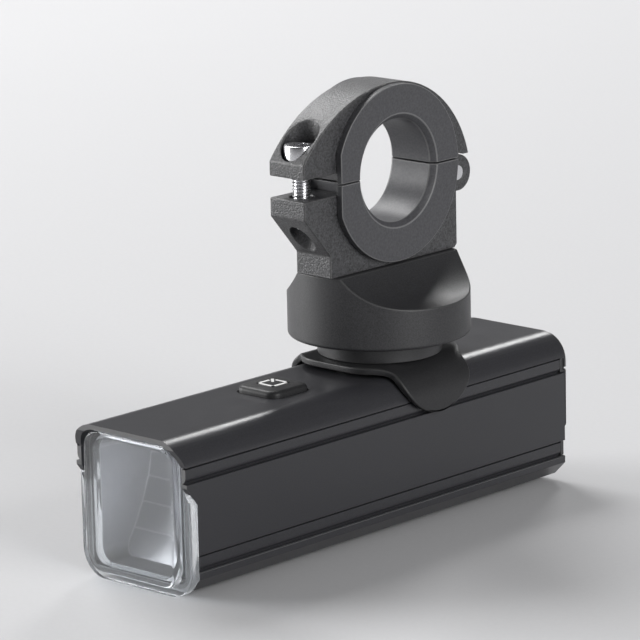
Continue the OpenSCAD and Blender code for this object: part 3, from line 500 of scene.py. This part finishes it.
def add_clamp_bolt():
    """A socket-head bolt with a rolled thread."""
    node = "clamp_bolt"
    low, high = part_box(node)
    head_r = (high.x - low.x) / 2
    shank_r = 2.0 * MM
    head_h = 4.0 * MM
    pitch = 0.7 * MM
    thread_depth = 0.36 * MM
    plain_shank = 0.4 * MM
    thread_end = 0.1 * MM
    hex_flats = 3.0 * MM
    hex_r = hex_flats / 2 / math.cos(math.pi / 6)
    edge = 0.35 * MM
    low_edge = 0.5 * edge
    edge_sag = 0.3 * edge
    socket_edge = 0.15 * MM
    socket_depth = 0.5 * head_h
    count = 48
    steps_per_turn = 8
    seat_z = high.z - head_h
    thread_top = seat_z - plain_shank
    turns = (thread_top - low.z - edge) / pitch

    def thread_ring(step):
        z = thread_top - step * pitch / steps_per_turn
        ring = []
        for i in range(count):
            phase = (i / count + step / steps_per_turn) % 1.0
            ridge = abs(2 * phase - 1)
            ring.append(polar(shank_r - thread_depth * (1 - ridge), 2 * math.pi * i / count, z))
        return ring

    rings = [circle_ring(shank_r - thread_depth - edge, low.z, count)]
    rings += [thread_ring(step) for step in range(int(turns * steps_per_turn), -1, -1)]
    outline = [
        (shank_r, thread_top + thread_end),
        (shank_r, seat_z),
        (head_r - low_edge, seat_z),
        (head_r, seat_z + low_edge),
        (head_r, high.z - edge),
        (head_r - edge_sag, high.z - edge_sag),
        (head_r - edge, high.z),
        (hex_r + socket_edge, high.z),
    ]
    rings += [circle_ring(radius, z, count) for radius, z in outline]
    rings += [hexagon_ring(hex_flats, high.z - drop, count) for drop in (socket_edge, socket_depth)]
    bm = bmesh.new()
    close_ends(bm, loft(bm, rings))
    bmesh.ops.translate(bm, verts=bm.verts, vec=(0, (low.y + high.y) / 2, 0))
    bmesh.ops.recalc_face_normals(bm, faces=bm.faces)
    stand_for(node, "_threaded", bm)


# The lamp

def rounded_square_ring(half, radius, z, per_corner=10):
    """Points of a level rounded square."""
    ring = []
    for quarter, (sx, sy) in enumerate(((1, 1), (-1, 1), (-1, -1), (1, -1))):
        for i in range(per_corner + 1):
            angle = math.pi / 2 * (quarter + i / per_corner)
            ring.append(Vector((sx * (half - radius) + radius * math.cos(angle),
                                sy * (half - radius) + radius * math.sin(angle), z)))
    return ring


def add_power_button():
    """A soft rounded-square key with a crowned top and a raised power sign."""
    node = "power_button"
    low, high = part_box(node)
    middle_xy = Vector(((low.x + high.x) / 2, (low.y + high.y) / 2, 0))
    flange_w = 1.1 * MM
    flange_t = 0.8 * MM
    flange_half = (high.x - low.x) / 2
    key_half = flange_half - flange_w
    corner = 2.5 * MM
    flange_corner = corner + 1 * MM
    soft = 1.0 * MM
    soft_steps = 6
    crown = 0.25 * MM
    crown_shares = (0.8, 0.6, 0.4, 0.2)
    rim_z = high.z - crown - soft
    flange_z = low.z + flange_t
    rings = [
        rounded_square_ring(flange_half, flange_corner, low.z),
        rounded_square_ring(flange_half, flange_corner, flange_z),
        rounded_square_ring(key_half, corner, flange_z),
        rounded_square_ring(key_half, corner, rim_z),
    ]
    for i in range(1, soft_steps + 1):
        angle = math.pi / 2 * i / soft_steps
        inset = soft * (1 - math.cos(angle))
        rings.append(rounded_square_ring(key_half - inset, corner - inset, rim_z + soft * math.sin(angle)))
    for share in crown_shares:
        half = (key_half - soft) * share
        rings.append(rounded_square_ring(half, (corner - soft) * share, high.z - crown * share ** 2))
    bm = bmesh.new()
    close_ends(bm, loft(bm, rings))
    bmesh.ops.translate(bm, verts=bm.verts, vec=middle_xy)
    bmesh.ops.recalc_face_normals(bm, faces=bm.faces)
    stand_for(node, "_soft", bm)
    add_power_symbol(middle_xy, high.z)


def add_power_symbol(centre, top_z):
    """A square power sign: four sides that leave one corner open, with a slanted stem there."""
    half = 2.15 * MM
    line = 0.62 * MM
    gap = 1.3 * MM
    stem = 1.5 * MM
    thick = 0.16 * MM
    sunk_share = 0.85
    bars = [
        (Vector((-half, -half)), Vector((half, -half))),
        (Vector((half, -half)), Vector((half, half))),
        (Vector((-half, -half)), Vector((-half, half - gap))),
        (Vector((half, half)), Vector((-half + gap, half))),
        (Vector((-half, half)), Vector((-half + stem, half - stem))),
    ]
    bm = bmesh.new()
    for start, end in bars:
        way = (end - start).normalized()
        side = Vector((-way.y, way.x)) * line / 2
        ends = [start - way * line / 2, end + way * line / 2]
        corners = [ends[0] - side, ends[1] - side, ends[1] + side, ends[0] + side]
        face = bm.faces.new([bm.verts.new((c.x, c.y, 0)) for c in corners])
        raised = bmesh.ops.extrude_face_region(bm, geom=[face])
        tops = [v for v in raised["geom"] if isinstance(v, bmesh.types.BMVert)]
        bmesh.ops.translate(bm, verts=tops, vec=(0, 0, thick))
    bmesh.ops.recalc_face_normals(bm, faces=bm.faces)
    bmesh.ops.translate(bm, verts=bm.verts, vec=centre + Vector((0, 0, top_z - sunk_share * thick)))
    add_piece("power_symbol", bm, BODY_OF["power_button"], "button_rubber", MATERIALS["symbol_white"])


# The two side channels: their upper ledges' drops below the body's top, their depth and their height
CHANNEL_DROPS = (5.3 * MM, 24.3 * MM)
CHANNEL_STEP = 0.35 * MM
CHANNEL_HEIGHT = 3.5 * MM


def cut_ledge_grooves(bm, half_w, top_z):
    """A fine groove under each side channel's ledge, where the body's parts meet."""
    height = 0.38 * MM
    depth = 0.7 * MM
    near = 0.02 * MM
    for drop in CHANNEL_DROPS:
        low_z = top_z - drop - height
        bmesh.ops.bisect_plane(bm, geom=list(bm.verts) + list(bm.edges) + list(bm.faces), dist=WELD,
                               plane_co=(0, 0, low_z), plane_no=(0, 0, 1))
        for side in (-1, 1):
            band = [f for f in bm.faces if f.normal.x * side > FACING
                    and abs(f.calc_center_median().x * side - half_w + CHANNEL_STEP) < near
                    and low_z < f.calc_center_median().z < low_z + height]
            sunk = bmesh.ops.extrude_face_region(bm, geom=band)
            bmesh.ops.delete(bm, geom=band, context="FACES")
            moved = [v for v in sunk["geom"] if isinstance(v, bmesh.types.BMVert)]
            bmesh.ops.translate(bm, verts=moved, vec=(-side * depth, 0, 0))


def dress_body():
    """The body with grooved channels, painted highlights on the cut faces in front and on the lower lip, and
    softened long edges.
    """
    node = "body_shell"
    lip_edge = 0.2 * MM
    lip_highlight = 1.5
    long_edge = 0.1 * MM
    cut_face_highlight = 1.5
    near = 0.1 * MM
    behind_lens = 0.2 * MM
    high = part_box(node)[1]
    bm = welded(node)
    cut_ledge_grooves(bm, high.x, high.z)
    lip_z = high.z - CHANNEL_DROPS[1] - CHANNEL_HEIGHT

    def is_long(edge):
        return runs_along_lamp(edge) and edge.is_convex

    def is_lower_lip(edge):
        return is_long(edge) and abs(middle(edge).z - lip_z) < near

    # The lower lip's rounded edge is painted lighter as a highlight where light catches it
    round_edges(bm, lip_edge, segments=2, choose=is_lower_lip, worn_and_lit=lip_highlight)
    round_edges(bm, long_edge, segments=2, choose=is_long, worn_and_lit=0)
    # The cut faces in front are painted lighter as a highlight where light falls on them
    mark = bm.faces.layers.float.get(WEAR_AND_HIGHLIGHT_MARK)
    front_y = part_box("lens")[1].y + behind_lens
    for face in bm.faces:
        if face.normal.y < -FACING and face.calc_center_median().y < front_y:
            face[mark] = cut_face_highlight
    weigh_normals(stand_for(node, "_dressed", bm))


def dress_lens():
    """The lens with a rounded rim round its flange's sides and foot."""
    foot_h = 4 * MM
    side_w = 1 * MM
    rim_depths = (1 * MM, 2.2 * MM)
    low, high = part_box("lens")

    def rims_flange(edge):
        spot = middle(edge)
        outer = spot.z < low.z + foot_h or abs(spot.x) > high.x - side_w
        return edge.is_convex and outer and high.y - rim_depths[1] < spot.y < high.y - rim_depths[0]

    dress("lens", width=0.25 * MM, shade_sharp=math.radians(50), choose=rims_flange)


def dress_lamp():
    """Rounded edges on the body, the lens, the reflector and the rear end."""
    dress_body()
    dress_lens()
    # The reflector's rounded facet edges get the mark that paints them lighter as glints
    dress("reflector", width=0.2 * MM, shade_sharp=math.radians(20), above=math.radians(6))
    dress("rear_cap", width=0.2 * MM, segments=2)
    dress("port_cover", width=0.3 * MM)
    dress("rear_screws", width=0.15 * MM, segments=2)


def paint_inner_nodes():
    """Gives every CAD node that still shows its slot's material."""
    for name, node in frame["nodes"].items():
        if not node.hide_render:
            node.data.materials.clear()
            node.data.materials.append(MATERIALS[SLOT_OF[name]])


# The studio

PALE = (0.6, 0.6, 0.61)
OVERHEAD = (0.09, 0.09, 0.092)
# Heights of a direction, as its share of Z, between which the surround goes from pale to overhead
HORIZON = (0.02, 0.18)
WORLD_LIGHT = 0.2
FLOOR_RADIUS = 0.85
FLOOR_POINTS = 96
FLOOR_GAP = 0.2 * MM
# Grey with which the floor lights the part from below
FLOOR_DIM = (0.2, 0.2, 0.2)
# Each soft lamp's name, direction from the part, distance and width in metres, and watts
LAMPS = (
    ("key", (-0.88, -0.46, 0.18), 2.2, 1.4, 60.0),
    ("upper", (-0.67, 0.2, 0.68), 2.0, 1.0, 26.0),
    ("rim", (-0.4, 0.72, 0.57), 2.2, 0.4, 9.0),
    ("fill", (0.95, -0.05, 0.32), 2.2, 1.2, 34.0),
)


def make_floor():
    """A pale matte floor just under the lamp, which throws little light back up."""
    bm = bmesh.new()
    bmesh.ops.create_circle(bm, cap_ends=True, segments=FLOOR_POINTS, radius=FLOOR_RADIUS)
    mesh = bpy.data.meshes.new("floor")
    bm.to_mesh(mesh)
    bm.free()
    made = surface("floor_pale", PALE, roughness=(0.7, 0.8), grain=1.2 * MM, depth=0.01 * MM, specular=0.2,
                   mottle=0.01, patch=60 * MM)
    tree = made.node_tree
    dim = tree.nodes.new("ShaderNodeBsdfDiffuse")
    dim.inputs["Color"].default_value = (*FLOOR_DIM, 1)
    blend_shaders(tree, seen_share(tree), dim.outputs["BSDF"], tree.nodes["Principled BSDF"].outputs["BSDF"],
                  tree.nodes["Material Output"])
    mesh.materials.append(made)
    floor = bpy.data.objects.new("floor", mesh)
    floor.location.z = cad_low.z - FLOOR_GAP
    bpy.context.scene.collection.objects.link(floor)


def make_world():
    """Soft even light; where the surround shows, it is pale up to the horizon and greyer overhead."""
    world = bpy.data.worlds.new("studio")
    bpy.context.scene.world = world
    world.use_nodes = True
    tree = world.node_tree
    tree.nodes.clear()
    light = tree.nodes.new("ShaderNodeBackground")
    light.inputs["Color"].default_value = (1, 1, 1, 1)
    light.inputs["Strength"].default_value = WORLD_LIGHT
    way = tree.nodes.new("ShaderNodeTexCoord")
    parts = tree.nodes.new("ShaderNodeSeparateXYZ")
    tree.links.new(way.outputs["Generated"], parts.inputs["Vector"])
    seen = tree.nodes.new("ShaderNodeBackground")
    height = spread(tree, parts.outputs["Z"], 0, 1, *HORIZON)
    tree.links.new(mix_colours(tree, height, PALE, OVERHEAD), seen.inputs["Color"])
    blend_shaders(tree, seen_share(tree), light.outputs["Background"], seen.outputs["Background"],
                  tree.nodes.new("ShaderNodeOutputWorld"))


def add_softbox(name, way, distance, size, watts):
    """A square soft lamp in a direction from the part, pointing back at it."""
    target = (cad_low + cad_high) / 2
    data = bpy.data.lights.new(name, "AREA")
    data.size = size
    data.energy = watts
    lamp = bpy.data.objects.new(name, data)
    lamp.location = target + Vector(way).normalized() * distance
    lamp.rotation_euler = Vector(way).to_track_quat("Z", "Y").to_euler()
    bpy.context.scene.collection.objects.link(lamp)


def make_lights():
    """A key light on the left, one above it, a small rim light behind and a fill on the right."""
    for lamp in LAMPS:
        add_softbox(*lamp)


# The photograph's camera, as fitted to the bar, the clamp and the lamp's edges
CAMERA_AZIMUTH = math.radians(43.27)
CAMERA_ELEVATION = math.radians(13.27)
CAMERA_ROLL = math.radians(-1.30)
CAMERA_DISTANCE = 881.41 * MM
CAMERA_RIGHT = -12.04 * MM
CAMERA_UP = -32.76 * MM
CAMERA_LENS_MM = 231.54
CAMERA_SENSOR_MM = 36.0
CAMERA_CLIP_START = 10 * MM


def make_camera():
    """The camera at the photograph's viewing angle."""
    back = Vector((math.sin(CAMERA_AZIMUTH) * math.cos(CAMERA_ELEVATION),
                   -math.cos(CAMERA_AZIMUTH) * math.cos(CAMERA_ELEVATION),
                   math.sin(CAMERA_ELEVATION)))
    level = Vector((math.cos(CAMERA_AZIMUTH), math.sin(CAMERA_AZIMUTH), 0))
    upright = back.cross(level)
    right = level * math.cos(CAMERA_ROLL) + upright * math.sin(CAMERA_ROLL)
    up = upright * math.cos(CAMERA_ROLL) - level * math.sin(CAMERA_ROLL)
    spot = back * CAMERA_DISTANCE + right * CAMERA_RIGHT + up * CAMERA_UP
    data = bpy.data.cameras.new("photo_camera")
    data.sensor_width = CAMERA_SENSOR_MM
    data.lens = CAMERA_LENS_MM
    data.clip_start = CAMERA_CLIP_START
    camera = bpy.data.objects.new("photo_camera", data)
    camera.matrix_world = Matrix((
        (right.x, up.x, back.x, spot.x),
        (right.y, up.y, back.y, spot.y),
        (right.z, up.z, back.z, spot.z),
        (0, 0, 0, 1),
    ))
    bpy.context.scene.collection.objects.link(camera)
    bpy.context.scene.camera = camera


dress_mount()
add_clamp_bolt()
dress_lamp()
add_power_button()
paint_inner_nodes()
make_floor()
make_world()
make_lights()
make_camera()
bpy.context.scene.view_settings.view_transform = "Standard"
